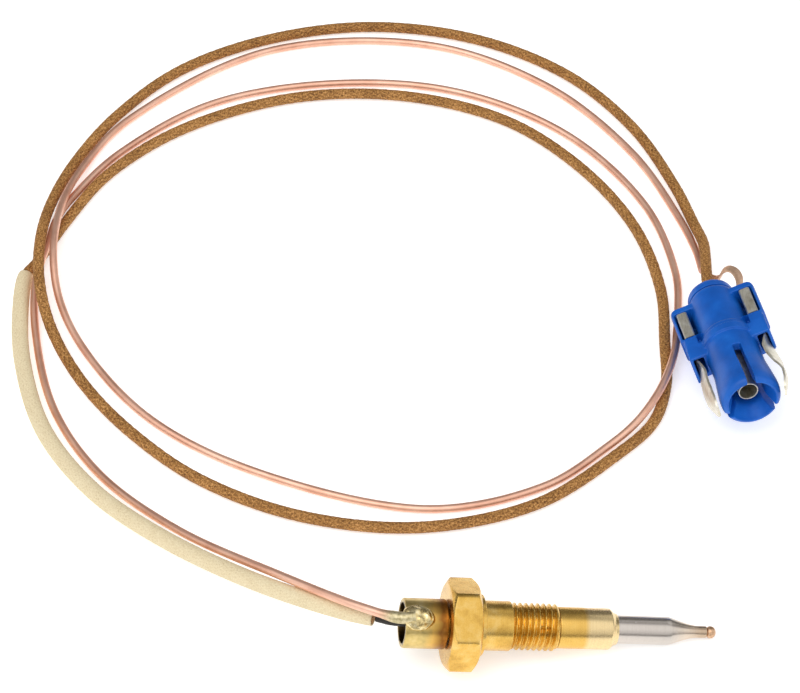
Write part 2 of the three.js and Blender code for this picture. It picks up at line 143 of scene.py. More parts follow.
# ---- Materials ----
def turned_brass(name, stops, tint=None):
    """Turned brass: fine tool marks round the axis and a cloudy tarnish, with a tint by station if given."""
    surface = Surface(name, 0.24, 1.0)
    marks = surface.noise(0.09, 2, source=surface.uv, stretch=(0.02 * MM, MM, MM))
    colour = surface.ramp(surface.noise(2.6, 4), stops)
    if tint:
        station = surface.math("DIVIDE", surface.along(), tint["length"], clamp=True)
        colour = surface.mix(tint["share"], colour, surface.ramp(station, tint["stops"]))
    colour = surface.shaded(colour, marks, [(0.3, (0.86, 0.84, 0.8)), (0.6, (1, 1, 1))])
    return surface.finish(colour, (surface.noise(0.7, 3), 0.16, 0.36), marks, 0.004)


def polished_steel(name, stops, length):
    """Drawn steel, polished round its axis, its colour changing along its length by the heating it has seen."""
    surface = Surface(name, 0.22, 1.0)
    marks = surface.noise(0.08, 2, source=surface.uv, stretch=(0.02 * MM, MM, MM))
    clouds = surface.math("MULTIPLY", surface.noise(1.6, 3), 1.6)
    station = surface.math("DIVIDE", surface.math("ADD", surface.along(), clouds), length, clamp=True)
    colour = surface.ramp(station, stops)
    colour = surface.shaded(colour, marks, [(0.3, (0.85, 0.84, 0.83)), (0.6, (1, 1, 1))])
    return surface.finish(colour, (surface.noise(0.6, 3), 0.15, 0.32), marks, 0.003)


def rolled_steel(name):
    """Spring strip: rolling lines along it and a faint straw tarnish."""
    surface = Surface(name, 0.4, 1.0)
    clouds = surface.noise(1.5, 4)
    lines = surface.noise(0.25, 3, stretch=(1, 0.12, 1))
    base = surface.ramp(clouds, [(0.3, (0.7, 0.64, 0.49)), (0.5, (0.84, 0.8, 0.68)),
                                 (0.7, (0.92, 0.89, 0.79))])
    colour = surface.shaded(base, lines, [(0.35, (0.85, 0.85, 0.85)), (0.6, (1, 1, 1))])
    return surface.finish(colour, (clouds, 0.32, 0.55), lines, 0.006)


def heated_brass_with_painted_shade():
    """The cup's brass: painted shade inside, olive at the mouth, and browned towards the hex in the brazing."""
    surface = Surface("heated_brass_with_painted_shade", 0.3, 1.0)
    clouds = surface.noise(1.7, 4, 0.55)
    base = surface.ramp(clouds, [(0.3, (0.5, 0.37, 0.14)), (0.55, (0.68, 0.51, 0.2)),
                                 (0.75, (0.78, 0.62, 0.32))])
    # The tint goes by the distance along the cup's outline, inside first: painted shade over the inside, then the
    # brazing's browning towards the hex; clouds make its edges uneven.
    uneven_by, tint_length = 2.2, 26.0
    reach = surface.math("ADD", surface.along(), surface.math("MULTIPLY", clouds, uneven_by))
    shade_and_heat = surface.math("DIVIDE", reach, tint_length, clamp=True)
    # The first stop is painted shade, near black, over the cup's inside.
    colour = surface.shaded(base, shade_and_heat, [
        (0.33, (0.12, 0.09, 0.07)), (0.36, (1, 1, 0.95)), (0.48, (1, 1, 0.95)), (0.55, (0.95, 0.76, 0.46)),
        (0.6, (0.42, 0.23, 0.12)), (0.66, (0.8, 0.5, 0.26)),
    ])
    return surface.finish(colour, (surface.noise(0.5, 3), 0.2, 0.45), surface.noise(0.25, 3), 0.012)


def drawn_copper():
    """Copper wire: long drawing lines, a soft pink tarnish, and solder where the weld attribute says so."""
    surface = Surface("drawn_copper", 0.26, 1.0)
    lines = surface.noise(0.5, 3, source=surface.uv, stretch=(8 * MM, 0.05 * MM, MM))
    base = surface.ramp(surface.noise(6.0, 4), [(0.3, (0.82, 0.47, 0.34)), (0.5, (0.92, 0.57, 0.43)),
                                                (0.72, (0.96, 0.66, 0.52))])
    bare = surface.shaded(base, lines, [(0.35, (0.88, 0.82, 0.78)), (0.6, (1, 1, 1))])
    solder = surface.ramp(surface.noise(0.6, 3), [(0.35, (0.42, 0.35, 0.18)), (0.65, (0.75, 0.66, 0.42))])
    colour = surface.mix(surface.attribute("weld"), bare, solder)
    return surface.finish(colour, (lines, 0.42, 0.6), lines, 0.006)


def glass_braid(name, stops, fleck_size, rough, depth):
    """Varnished glass-fibre braid: fine fibre flecks in soft patches, and painted shade between the strands."""
    surface = Surface(name, rough, specular=0.25)
    flecks = surface.noise(fleck_size, 3, 0.7)
    tone = surface.math("MULTIPLY", flecks, 0.75)
    # The relief attribute darkens the gaps between the strands: painted shade.
    for part, share in ((surface.attribute("relief"), 0.12), (surface.noise(3.5, 3), 0.14)):
        tone = surface.math("ADD", tone, surface.math("MULTIPLY", part, share))
    gloss = (flecks, rough - 0.15, min(1.0, rough + 0.1))
    return surface.finish(surface.ramp(tone, stops), gloss, flecks, depth)


def mottled(name, metallic, clouds, stops, grain, depth, gloss=None, specular=0.5):
    """Cloudy tones and a fine grain. clouds, grain and the first of gloss are settings for their noise."""
    surface = Surface(name, 0.7, metallic, specular)
    if gloss:
        settings, low, high = gloss
        gloss = (surface.noise(*settings), low, high)
    colour = surface.ramp(surface.noise(*clouds), stops)
    return surface.finish(colour, gloss, surface.noise(*grain), depth)


# ---- Camera, floor and light ----
FLOOR_HALF = 1.5
FLOOR_DROP = 0.0001  # keeps the floor's surface just under the object's lowest points
FLOOR_GLOW = 0.45  # like a light table, so shadows stay faint
TENT_STRENGTH = 0.85
# The tent's grey by the share of the way from the near horizon, over the top, to the far one.
TENT_BANDS = [(0.0, 0.4), (0.06, 0.3), (0.1, 0.9), (0.3, 1.35), (0.5, 1.35), (0.6, 0.55), (0.75, 0.22),
              (1.0, 0.25)]


def add_object(name, data):
    made = bpy.data.objects.new(name, data)
    bpy.context.scene.collection.objects.link(made)
    return made


def add_camera():
    data = bpy.data.cameras.new("camera")
    data.lens = 133.3
    data.clip_start = 0.01
    camera = add_object("camera", data)
    camera.location = (-0.0525, -0.2945, 0.407)
    camera.rotation_euler = (math.radians(42), 0, math.radians(-5))
    bpy.context.scene.camera = camera


def add_light(name, place, target, size, watts):
    data = bpy.data.lights.new(name, "AREA")
    data.shape = "RECTANGLE"
    data.size, data.size_y = size
    data.energy = watts
    light = add_object(name, data)
    light.location = place
    light.rotation_euler = (Vector(target) - Vector(place)).to_track_quat("-Z", "Y").to_euler()


def add_world():
    """A light tent: bright from low on the near side to the zenith, and dim behind."""
    world = bpy.data.worlds.new("tent")
    bpy.context.scene.world = world
    world.use_nodes = True
    tree = world.node_tree
    tree.nodes.clear()
    place = add_node(tree, "TexCoord", {})
    split = add_node(tree, "SeparateXYZ", {0: place.outputs["Generated"]})
    nearness = add_node(tree, "Math", {0: split.outputs["Y"], 1: -1.0}, operation="MULTIPLY")
    angle = add_node(tree, "Math", {0: split.outputs["Z"], 1: nearness.outputs[0]}, operation="ARCTAN2")
    share = add_node(tree, "Math", {0: angle.outputs[0], 1: math.pi}, operation="DIVIDE")
    ramp = add_node(tree, "ValToRGB", {0: share.outputs[0]})
    fill_ramp(ramp, [(stop, (grey, grey, grey)) for stop, grey in TENT_BANDS])
    background = add_node(tree, "Background", {"Color": ramp.outputs["Color"], "Strength": TENT_STRENGTH})
    add_node(tree, "OutputWorld", {0: background.outputs[0]})


def add_floor():
    mesh = bpy.data.meshes.new("floor")
    corners = [(x * FLOOR_HALF, y * FLOOR_HALF, 0) for x, y in ((-1, -1), (1, -1), (1, 1), (-1, 1))]
    mesh.from_pydata(corners, [], [(0, 1, 2, 3)])
    floor = add_object("floor", mesh)
    floor.location.z = -FLOOR_DROP
    surface = Surface("floor", 0.9, specular=0.1)
    surface.shade(Base_Color=(0.9, 0.9, 0.9), Emission_Color=(1, 1, 1), Emission_Strength=FLOOR_GLOW)
    mesh.materials.append(surface.material)


# ---- Mesh making ----
def close_up(mesh, distance):
    """Joins the points that are closer than a distance, and turns every face outwards."""
    shape = bmesh.new()
    shape.from_mesh(mesh)
    bmesh.ops.remove_doubles(shape, verts=shape.verts, dist=distance)
    bmesh.ops.recalc_face_normals(shape, faces=shape.faces)
    shape.to_mesh(mesh)
    shape.free()


def add_piece(name, made, look, nodes, body="probe", matrix=None, relief=None, weld=None, sharp=35,
              merge=True):
    """A piece from skin's points, faces and UVs; materials read relief and weld, a number for each point."""
    points, faces, uvs = made
    if matrix:
        points = placed(matrix, points)
    mesh = bpy.data.meshes.new(name)
    mesh.from_pydata((np.asarray(points, float) * MM).tolist(), [], np.asarray(faces).tolist())
    layer = mesh.uv_layers.new(name="UVMap")
    layer.data.foreach_set("uv", np.asarray(uvs, np.float32).ravel())
    for label, values in (("relief", relief), ("weld", weld)):
        if values is not None:
            attribute = mesh.attributes.new(label, "FLOAT", "POINT")
            attribute.data.foreach_set("value", np.asarray(values, np.float32).ravel())
    if merge:
        close_up(mesh, 1e-7)
    piece = add_object(name, mesh)
    dress(piece, look, sharp)
    return place(piece, look, nodes, body)


def dress(piece, look, sharp=35):
    mesh = piece.data
    mesh.materials.clear()
    mesh.materials.append(materials[look])
    mesh.polygons.foreach_set("use_smooth", [True] * len(mesh.polygons))
    mesh.set_sharp_from_angle(angle=math.radians(sharp))


def place(piece, look, nodes, body="probe"):
    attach(piece, body)
    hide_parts(*nodes)
    return piece


def skin(rings, marks=None, loop=False):
    """Quads over an array of closed rings: points, faces and each corner's (share round, distance along).

    Marks are the rings' distances along; a loop joins the last ring to the first.
    """
    count, sides = rings.shape[:2]
    if marks is None:
        middles = rings.mean(axis=1)
        spread = np.linalg.norm(rings - middles[:, None], axis=2).mean(axis=1)
        marks = lengths(np.column_stack([middles, spread]))
    rows = np.arange(count if loop else count - 1)
    i, j = np.meshgrid(rows, np.arange(sides), indexing="ij")
    after, beside = (i + 1) % count, (j + 1) % sides
    faces = np.stack([i * sides + j, i * sides + beside, after * sides + beside, after * sides + j], -1)
    u0, u1 = j / sides, (j + 1) / sides
    v0, v1 = marks[i], marks[after]
    uvs = np.stack([np.stack(pair, -1) for pair in ((u0, v0), (u1, v0), (u1, v1), (u0, v1))], -2)
    return rings.reshape(-1, 3), faces.reshape(-1, 4), uvs.reshape(-1, 2)


def fillet(points, radius, steps=4):
    """Rounds the inner corners of an open outline; a point may carry its own radius as a third number."""
    made = [points[0][:2]]
    for before, corner, after in zip(points, points[1:], points[2:]):
        size = corner[2] if len(corner) > 2 else radius
        at = Vector(corner[:2])
        back, ahead = Vector(before[:2]) - at, Vector(after[:2]) - at
        reach = min(size, 0.45 * back.length, 0.45 * ahead.length)
        start, end = at + back.normalized() * reach, at + ahead.normalized() * reach
        for k in range(steps + 1):
            t = k / steps
            made.append(tuple(start * (1 - t) ** 2 + at * 2 * t * (1 - t) + end * t**2))
    made.append(points[-1][:2])
    return made


def round_angles(sides):
    """Angles from straight up, starting underneath so that the seam is out of sight."""
    return np.linspace(0, 2 * math.pi, sides, endpoint=False) + math.pi


def turned_rings(profile, angles):
    """Rings of [station, side, up] for a profile of (station, radius)."""
    stations, radii = np.array(profile, float).T
    return np.stack([
        np.repeat(stations[:, None], len(angles), 1),
        radii[:, None] * np.sin(angles),
        radii[:, None] * np.cos(angles),
    ], -1)


def placed(matrix, points):
    turn = np.array(matrix.to_3x3())
    return np.asarray(points) @ turn.T + np.array(matrix.translation)


def turned_piece(name, matrix, profile, look, nodes, sides):
    return add_piece(name, skin(turned_rings(profile, round_angles(sides))), look, nodes, matrix=matrix)


CURVE_STEP = 0.25  # between the points first worked out on a curve


def centripetal(route, radius, spacing):
    """The smooth curve through a route's points, as evenly spaced points.

    A point with no height lies on the floor.
    """
    knots = [Vector((x, y, rest[0] if rest else radius + FLOOR_GAP)) for x, y, *rest in route]
    knots = [2 * knots[0] - knots[1], *knots, 2 * knots[-1] - knots[-2]]
    made = []
    for a, b, c, d in zip(knots, knots[1:], knots[2:], knots[3:]):
        first, middle, last = (max((q - p).length, 1e-6) ** 0.5 for p, q in ((a, b), (b, c), (c, d)))
        leave = ((b - a) / first - (c - a) / (first + middle) + (c - b) / middle) * middle
        arrive = ((c - b) / middle - (d - b) / (middle + last) + (d - c) / last) * middle
        steps = max(4, int((c - b).length / CURVE_STEP))
        for k in range(steps):
            t = k / steps
            cube, square = t**3, t**2
            made.append(b * (2 * cube - 3 * square + 1) + leave * (cube - 2 * square + t)
                        + c * (3 * square - 2 * cube) + arrive * (cube - square))
    made.append(knots[-2])
    return evened(np.array(made), spacing)


def evened(points, spacing):
    marks = lengths(points)
    wanted = np.linspace(0, marks[-1], max(2, round(marks[-1] / spacing)) + 1)
    return np.stack([np.interp(wanted, marks, points[:, k]) for k in range(3)], 1)


def lengths(path):
    """The distance along a path at each of its points."""
    return np.concatenate([[0], np.cumsum(np.linalg.norm(np.diff(path, axis=0), axis=1))])


def turning_frames(path, start=(0.0, 0.0, 1.0)):
    """A side and an up direction at each point of a path, carried along it without twist."""
    tangents = np.gradient(path, axis=0)
    tangents /= np.linalg.norm(tangents, axis=1)[:, None]
    ups = np.empty_like(path)
    up = np.array(start)
    for i, tangent in enumerate(tangents):
        up = up - tangent * (up @ tangent)
        up /= np.linalg.norm(up)
        ups[i] = up
    return np.cross(tangents, ups), ups


def swept_rings(path, radii):
    """Rings round a path; radii is an array of [ring, side]."""
    sides_out, ups = turning_frames(path)
    angles = round_angles(radii.shape[1])[:, None]
    round_it = np.sin(angles) * sides_out[:, None] + np.cos(angles) * ups[:, None]
    return path[:, None] + radii[:, :, None] * round_it


def with_ends(rings):
    """Rings with both ends of the rod closed."""
    first = rings[0].mean(axis=0) + 0 * rings[:1]
    last = rings[-1].mean(axis=0) + 0 * rings[-1:]
    return np.concatenate([first, rings, last])


def braid_relief(path_marks, sides, carriers, pitch):
    """From 0 between the strands to 1 on their crowns: two families of strands, over and under."""
    share = np.arange(sides) / sides
    left = carriers * share + path_marks[:, None] / pitch
    right = carriers * share - path_marks[:, None] / pitch
    over = (np.floor(left) + np.floor(right)) % 2 == 0
    crown = np.where(over, left % 1, right % 1)
    other = np.where(over, right % 1, left % 1)
    return np.sin(math.pi * crown) ** 0.7 * (0.65 + 0.35 * np.sin(math.pi * other))


def lumps(rings, size, seed):
    """Smooth noise from -1 to 1 at each point of the rings."""
    flat = rings.reshape(-1, 3) / size
    values = [noise.noise(Vector(p) + Vector((seed, 0, 0))) for p in flat]
    return np.array(values).reshape(rings.shape[:2])


def boolean(piece, tool, operation):
    """Joins or cuts piece with tool, and removes the tool."""
    modify(piece, "BOOLEAN", operation=operation, solver="MANIFOLD", object=tool)
    apply_modifiers(piece)
    bpy.data.objects.remove(tool)


def modify(piece, kind, **settings):
    modifier = piece.modifiers.new(kind.lower(), kind)
    for name, value in settings.items():
        setattr(modifier, name, value)


def apply_modifiers(piece):
    graph = bpy.context.evaluated_depsgraph_get()
    made = bpy.data.meshes.new_from_object(piece.evaluated_get(graph), preserve_all_data_layers=True,
                                           depsgraph=graph)
    old = piece.data
    piece.modifiers.clear()
    piece.data = made
    made.name = piece.name
    bpy.data.meshes.remove(old)


def tool_from(points, faces):
    """A loose object, in millimetres, to join or cut with."""
    mesh = bpy.data.meshes.new("tool")
    mesh.from_pydata(np.asarray(points, float).tolist(), [], [list(map(int, f)) for f in faces])
    close_up(mesh, 1e-5)
    return add_object("tool", mesh)


def block(low, high, turn=0.0):
    """A box, turned by an angle about Y."""
    corners = [(x, y, z) for x in (low[0], high[0]) for y in (low[1], high[1]) for z in (low[2], high[2])]
    faces = [(0, 1, 3, 2), (4, 6, 7, 5), (0, 4, 5, 1), (2, 3, 7, 6), (0, 2, 6, 4), (1, 5, 7, 3)]
    tool = tool_from(corners, faces)
    tool.data.transform(Matrix.Rotation(turn, 4, "Y"))
    return tool


def extruded(outline, low, high, axis="Y"):
    """A closed outline carried from low to high along Y (outline in x, z) or along Z (outline in x, y)."""
    count = len(outline)
    def at(level):
        return [(a, level, b) if axis == "Y" else (a, b, level) for a, b in outline]
    sides = [(i, (i + 1) % count, (i + 1) % count + count, i + count) for i in range(count)]
    return tool_from(at(low) + at(high), [*sides, list(range(count)), list(range(count, 2 * count))])


def lathe_tool(profile):
    """A solid turned about Y from a profile of (station, radius) that starts and ends on the axis."""
    rings = turned_rings(profile, round_angles(96))
    return tool_from(*skin(rings[..., [1, 0, 2]])[:2])


# ---- Frames of the head and the plug, from the record ----
def frame_matrix(origin, along, up_hint):
    """Columns: along, side, up."""
    along = Vector(along).normalized()
    side = Vector(up_hint).cross(along).normalized()
    up = along.cross(side)
    matrix = Matrix((along, side, up)).transposed().to_4x4()
    matrix.translation = Vector(origin) / MM
    return matrix


HEAD = frame_matrix(joints["gland_turn"]["pos_m"], joints["gland_turn"]["axis"], (0, 0, 1))

CLIP_PIVOT_BACK = 9.0  # the clips turn about points this far behind the mating face
plug_top = Vector(joints["left_clip_flex"]["axis"]).normalized()
plug_back = -Vector(mounts["plug_face"]["axis"]).normalized()
plug_right = plug_back.cross(plug_top).normalized()
plug_top = plug_right.cross(plug_back)
pivots = [Vector(joints[side + "_clip_flex"]["pos_m"]) / MM for side in ("left", "right")]
PLUG = Matrix((plug_right, plug_back, plug_top)).transposed().to_4x4()
PLUG.translation = (pivots[0] + pivots[1]) / 2 - CLIP_PIVOT_BACK * plug_back
PLUG_TURNED = PLUG @ Matrix(((0, 1, 0, 0), (1, 0, 0, 0), (0, 0, 1, 0), (0, 0, 0, 1)))

# ---- The leads: routes as the CAD has them, in millimetres ----
FLOOR_GAP = 0.05
BRAID_RADIUS = 1.05
SLEEVE_RADIUS = 1.55
SLEEVE_BORE = 1.2
COPPER_RADIUS = 0.75
CORE_RADIUS = 0.65

BRAIDED_ROUTE = [
    (37.4, 72.8, 6.2), (37.3, 76.5, 6), (38.1, 83, 4.7), (38.7, 89, 3.2), (38, 95.5, 1.8),
    (35.9, 107), (30, 124), (19, 140), (2, 152), (-19, 157.6),
    (-40, 155.6), (-58, 148), (-71, 136), (-79, 124.3, 1.2), (-83.8, 112, 2.8),
    (-86.1, 99.5, 5.2), (-86.5, 88.8, 4.8), (-84.6, 78.5, 2.7), (-79.5, 66.5, 1.2), (-71, 53.6),
    (-58.7, 41), (-41.4, 31.2), (-20.8, 26.9), (0, 30.3), (15.8, 40.4),
    (23.2, 47.2), (26.8, 55.8), (28.1, 66), (29.3, 80), (26.5, 97),
    (18, 114), (5, 128), (-14, 136.5), (-36, 137.9), (-58, 131),
    (-73, 119.7), (-81.5, 107.4), (-87.2, 96.7, 1.2),
]
SLEEVE_ROUTE = [
    (-89.2, 93.3, 1.5), (-90.3, 84, 1.7), (-89.9, 71, 1.7), (-86.2, 54.5, 1.7), (-77.8, 39.5, 2.2),
    (-66, 26.3, 4.1), (-51, 13.5, 6.9), (-37, 4.7, 8.8), (-31, 2, 9.3),
]
COPPER_ROUTE = [
    (37.5, 82.2, 2.8), (37.4, 88.5, 1.5), (35.4, 99), (29, 117), (14.5, 137.5),
    (-8, 151.5), (-40, 152.5), (-68.8, 134.7, 0.9), (-78.3, 120.8, 1.7), (-82.3, 108, 4.4),
    (-83.8, 96, 5), (-83, 85.7, 2.6), (-78.7, 74, 1), (-66.9, 56), (-48, 41.8),
    (-19, 31.1), (2, 34.5), (14, 42.2, 1), (19.5, 46.2, 2.1), (23.6, 50.7, 3.1),
    (27.2, 57, 3.1), (29.6, 63.5, 2.4), (30.7, 68.5, 0.9), (31.8, 74), (32.8, 84),
    (29.5, 102.5), (16.5, 123.5), (-4, 137.4), (-28, 141.7), (-52, 138),
    (-70.8, 125.5), (-80, 113.5, 1.6), (-83, 107, 2.8), (-85.2, 99, 3.1), (-87.4, 90, 2.4),
    (-87.4, 77, 1), (-84.2, 59.5), (-76.5, 44, 1), (-63, 27.6, 4.1), (-46.3, 12.6, 9),
    (-33.3, 2, 12.6), (-26.8, -1.5, 13.4),
]
SOLDERED_END = (-24.2, -1.75, 13.75)  # under the puddle of braze
CORE_ROUTE = [(-30.5, 1.75, 9.35), (-28.6, 0.6, 9.8), (-26.4, 0, 9.93), (-23.5, 0, 9.44)]
TAIL_ROUTE = [
    (37.7, 81.6, 2.7), (38.9, 79.6, 3.3), (39.9, 78, 5.2), (40.2, 77.2, 7.6),
    (40.9, 76.4, 9.1), (41.8, 75, 9.9), (42.3, 73, 10.1), (42.1, 70.7, 9.8),
]


def add_braided_lead(whole):
    """The braided lead, one piece from the cup to the plug."""
    path = whole[::-1]
    sides = 26
    relief = braid_relief(lengths(path), sides, 8, 2.1)
    shape = np.full((len(path), sides), BRAID_RADIUS - 0.05)
    rough = lumps(swept_rings(path, shape), 0.45, 3.0)
    rings = swept_rings(path, shape + 0.06 * relief + 0.035 * rough)
    relief = np.concatenate([relief[:1], relief, relief[-1:]])
    return add_piece("braided_lead", skin(with_ends(rings)), "brown_braid",
                     ["insulated_lead", "lead_in_sleeve"], relief=relief, merge=False, sharp=180)


def add_sleeve(path):
    """The cream sleeve: a fine braided tube, its ends rounded off."""
    marks = lengths(path)
    sides = 48
    relief = braid_relief(marks, sides, 16, 1.5)
    outer_radius = np.full((len(path), sides), SLEEVE_RADIUS - 0.06) + 0.05 * relief
    rounding = 0.35
    ends = np.exp(-marks / rounding)[:, None] + np.exp(-(marks[-1] - marks) / rounding)[:, None]
    outer = swept_rings(path, outer_radius - 0.1 * ends)
    inner = swept_rings(path, np.full((len(path), sides), SLEEVE_BORE))[::-1]
    tube = skin(np.concatenate([outer, inner]), np.concatenate([marks, marks[::-1]]), loop=True)
    relief = np.concatenate([relief, 0 * relief + 0.4])
    return add_piece("heat_sleeve_braid", tube, "cream_sleeve", ["heat_sleeve"], relief=relief, sharp=180)


def add_core():
    """The charred core that goes from the sleeve into the cup."""
    path = centripetal(CORE_ROUTE, CORE_RADIUS, 0.1)
    shape = np.full((len(path), 20), CORE_RADIUS - 0.04)
    rings = swept_rings(path, shape + 0.05 * lumps(swept_rings(path, shape), 0.5, 9.0))
    return add_piece("charred_core", skin(with_ends(rings)), "dark_bush", ["lead_core_rear"], sharp=60)


def add_copper_lead(path):
    """The copper lead: round wire, thicker and soldered over its last few millimetres at the cup."""
    all_solder, fading = 3.9, 2.6  # along the wire from its soldered end
    weld = np.clip(1 - (lengths(path) - all_solder) / fading, 0, 1)
    sides = 20
    shape = np.full((len(path), sides), COPPER_RADIUS - 0.01)
    dimples = lumps(swept_rings(path, shape), 5.0, 21.0)
    shape = shape + 0.012 * dimples + 0.38 * (weld**1.5)[:, None] * (0.7 + 0.3 * dimples)
    rings = swept_rings(path, shape)
    weld = np.repeat(np.concatenate([weld[:1], weld, weld[-1:]]), sides)
    return add_piece("copper_wire", skin(with_ends(rings)), "copper", ["copper_lead"], weld=weld, sharp=60)


def add_tail():
    """The copper lead's end, hammered flat and bent up to the housing."""
    path = centripetal(TAIL_ROUTE, COPPER_RADIUS, 0.1)
    marks = lengths(path) / lengths(path)[-1]
    angles = round_angles(24)
    width = 0.62 + 0.2 * np.sin(math.pi * marks) + 0.06 * np.sin(17 * marks)
    thickness = 0.62 - 0.38 * np.clip(marks / 0.2, 0, 1)
    # The section is a circle whose sides are flattened: a power below one makes it squarer.
    x, y = (np.sign(side) * np.abs(side) ** 0.6 for side in (np.sin(angles), np.cos(angles)))
    across, ups = turning_frames(path, (0.8, 0.3, 0.5))
    rings = (path[:, None] + (width[:, None] * x)[..., None] * ups[:, None]
             + (thickness[:, None] * y)[..., None] * across[:, None])
    rod = with_ends(rings)
    weld = np.full(rod.shape[:2], 0.35)
    return add_piece("ground_strap", skin(rod), "copper", ["ground_tail"], weld=weld, sharp=60)


# ---- The head: stations along its axis from the seating face, and radii, as the CAD has them ----
HEX_FLAT = 7.0  # from the middle to a flat
HEX_CORNER = HEX_FLAT / math.cos(math.radians(30))
HEX_FACE = HEX_FLAT - 0.1  # the round flat of each end
HEX_REAR = -6.1
HEX_FRONT = -1.0
HEX_CHAMFER = 0.9
SEAT_RADIUS = 5.2
SHANK_RADIUS = 4.2
THREAD_START = 4.9
THREAD_ROOT = 3.46
THREAD_CREST = 4.0
THREAD_PITCH = 1.0
ROWS_PER_TURN = 14
GLAND_END = 12.9
GLAND_BORE = 2.85  # and of the cup's front hole, round the nose's stem
NOSE_RADIUS = 3.5
NOSE_BORE = 2.5
NOSE_END = 23.2
STEM_RADIUS = 2.75
STEM_BORE = 1.7
STEM_RIM = 3.15
CUP_REAR = -13.5
CUP_FRONT = -6.3
CUP_RADIUS = 4.2
CUP_BORE = 3.4
CUP_INSIDE = -7.8
ENTRY_TILT = math.radians(24)  # from the top towards -Y, to where the copper lead enters the cup
SHEATH_START = 15.1
SHEATH_RADIUS = 2.4
SHEATH_BORE = 2.0
TAPER_START = 32.3
TAPER_END = 37.5
NECK_RADIUS = 1.02
NECK_BORE = 0.6
SHEATH_END = 38.9
BEAD_RADIUS = 1.08
BEAD_REACH = 0.92
PUDDLE_LENGTH = 2.65  # half the puddle's length and width, measured on the cup
PUDDLE_WIDTH = 2.3
PUDDLE_MIDDLE = CUP_REAR + 2.05
# Knocks on the gland: station, angle from the top (negative towards -Y), size, depth.
GLAND_DENTS = [
    (-2.3, -52, 0.45, 0.12), (-1.9, -58, 0.4, 0.1), (-2.6, -63, 0.35, 0.1), (-4.4, -34, 0.5, 0.05),
    (9.7, -44, 0.6, 0.3), (10.9, -42, 0.35, 0.25), (2.1, 60, 0.4, 0.05), (-3, 150, 0.6, 0.1),
]


def level(angles, profile):
    """Rows of (stations, radii) that are the same all the way round."""
    return [(np.full_like(angles, station), np.full_like(angles, radius)) for station, radius in profile]


def hex_section():
    """Angles round the gland, close together on the flats, and the hex's radius at each."""
    turned = HEX_CORNER - 0.18  # the corners are turned down to this radius
    half_flat = math.acos(HEX_FLAT / turned)
    sector = np.concatenate([[0.0], np.linspace(-half_flat, half_flat, 23) + math.radians(30)])
    angles = np.concatenate([sector + k * math.radians(60) for k in range(3, 9)])
    turn = (angles % math.radians(60)) - math.radians(30)
    return angles, np.minimum(HEX_FLAT / np.cos(turn), turned)


def hex_rows(angles, hexagon):
    """The hex from its rear face to its front face, bevelled at both ends."""
    lean = HEX_CHAMFER / (HEX_CORNER + 0.2 - HEX_FACE)
    set_back = (hexagon - HEX_FACE) * lean
    rear, front = HEX_REAR + 0.06 + set_back, HEX_FRONT - 0.06 - set_back
    rows = level(angles, fillet([(HEX_REAR, GLAND_BORE), (HEX_REAR, 4.5), (HEX_REAR, HEX_FACE - 0.12)],
                                0.05, 1))
    rows += level(angles, [(HEX_REAR + 0.02, HEX_FACE - 0.03)])
    rows += [(rear - 0.09, hexagon - 0.1), (rear, hexagon - 0.015)]
    rows += [(rear + (front - rear) * share, hexagon) for share in np.linspace(0.02, 0.98, 12)]
    rows += [(front, hexagon - 0.015), (front + 0.09, hexagon - 0.1)]
    return rows + level(angles, [(HEX_FRONT - 0.02, HEX_FACE - 0.03)])


def thread_rows(angles):
    """The helical thread, which fades in from the shank and out at the gland's end."""
    rows = []
    for station in np.arange(THREAD_START + 0.1, GLAND_END - 0.12, THREAD_PITCH / ROWS_PER_TURN):
        phase = ((station - THREAD_START) / THREAD_PITCH - angles / (2 * math.pi)) % 1
        height = np.clip(1.14 - 1.25 * np.abs(phase - 0.5) * 2, 0, 1)
        fade = min(1, (station - THREAD_START) / 0.3, (GLAND_END - station) / 0.5)
        radius = THREAD_ROOT + (THREAD_CREST - THREAD_ROOT) * height * fade + 0.25 * (1 - fade)
        rows.append((np.full_like(angles, station), radius))
    return rows


def add_gland():
    """The gland: hex, seating collar, plain shank and a helical M8 x 1 thread, on one skin."""
    angles, hexagon = hex_section()
    shank = fillet([
        (HEX_FRONT, HEX_FACE - 0.12), (HEX_FRONT, SEAT_RADIUS, 0.1), (0, SEAT_RADIUS, 0.15),
        (0, SHANK_RADIUS, 0.1), (THREAD_START - 0.15, SHANK_RADIUS, 0.12), (THREAD_START + 0.05, 3.75),
    ], 0.1, 3)
    end = fillet([(GLAND_END - 0.1, 3.6), (GLAND_END, 3.45), (GLAND_END, GLAND_BORE), (HEX_REAR, GLAND_BORE)],
                 0.05, 2)
    rows = [*hex_rows(angles, hexagon), *level(angles, shank), *thread_rows(angles), *level(angles, end)]
    station, radius = np.array(rows).swapaxes(0, 1)
    around = np.broadcast_to(angles, station.shape)
    for where, angle, size, depth in GLAND_DENTS:
        off = ((around - math.radians(angle) + math.pi) % (2 * math.pi)) - math.pi
        away = np.hypot(station - where, off * radius) / size
        hit = (radius > THREAD_ROOT - 0.1) * np.clip(1 - away**2, 0, 1) ** 2
        radius = radius - depth * hit
    rings = np.stack([station, radius * np.sin(around), radius * np.cos(around)], -1)
    mid_flat = 12
    made = skin(rings, lengths(rings[:, mid_flat]))
    return add_piece("threaded_gland", made, "gland_brass", ["gland_nut"], "gland", HEAD, sharp=32)


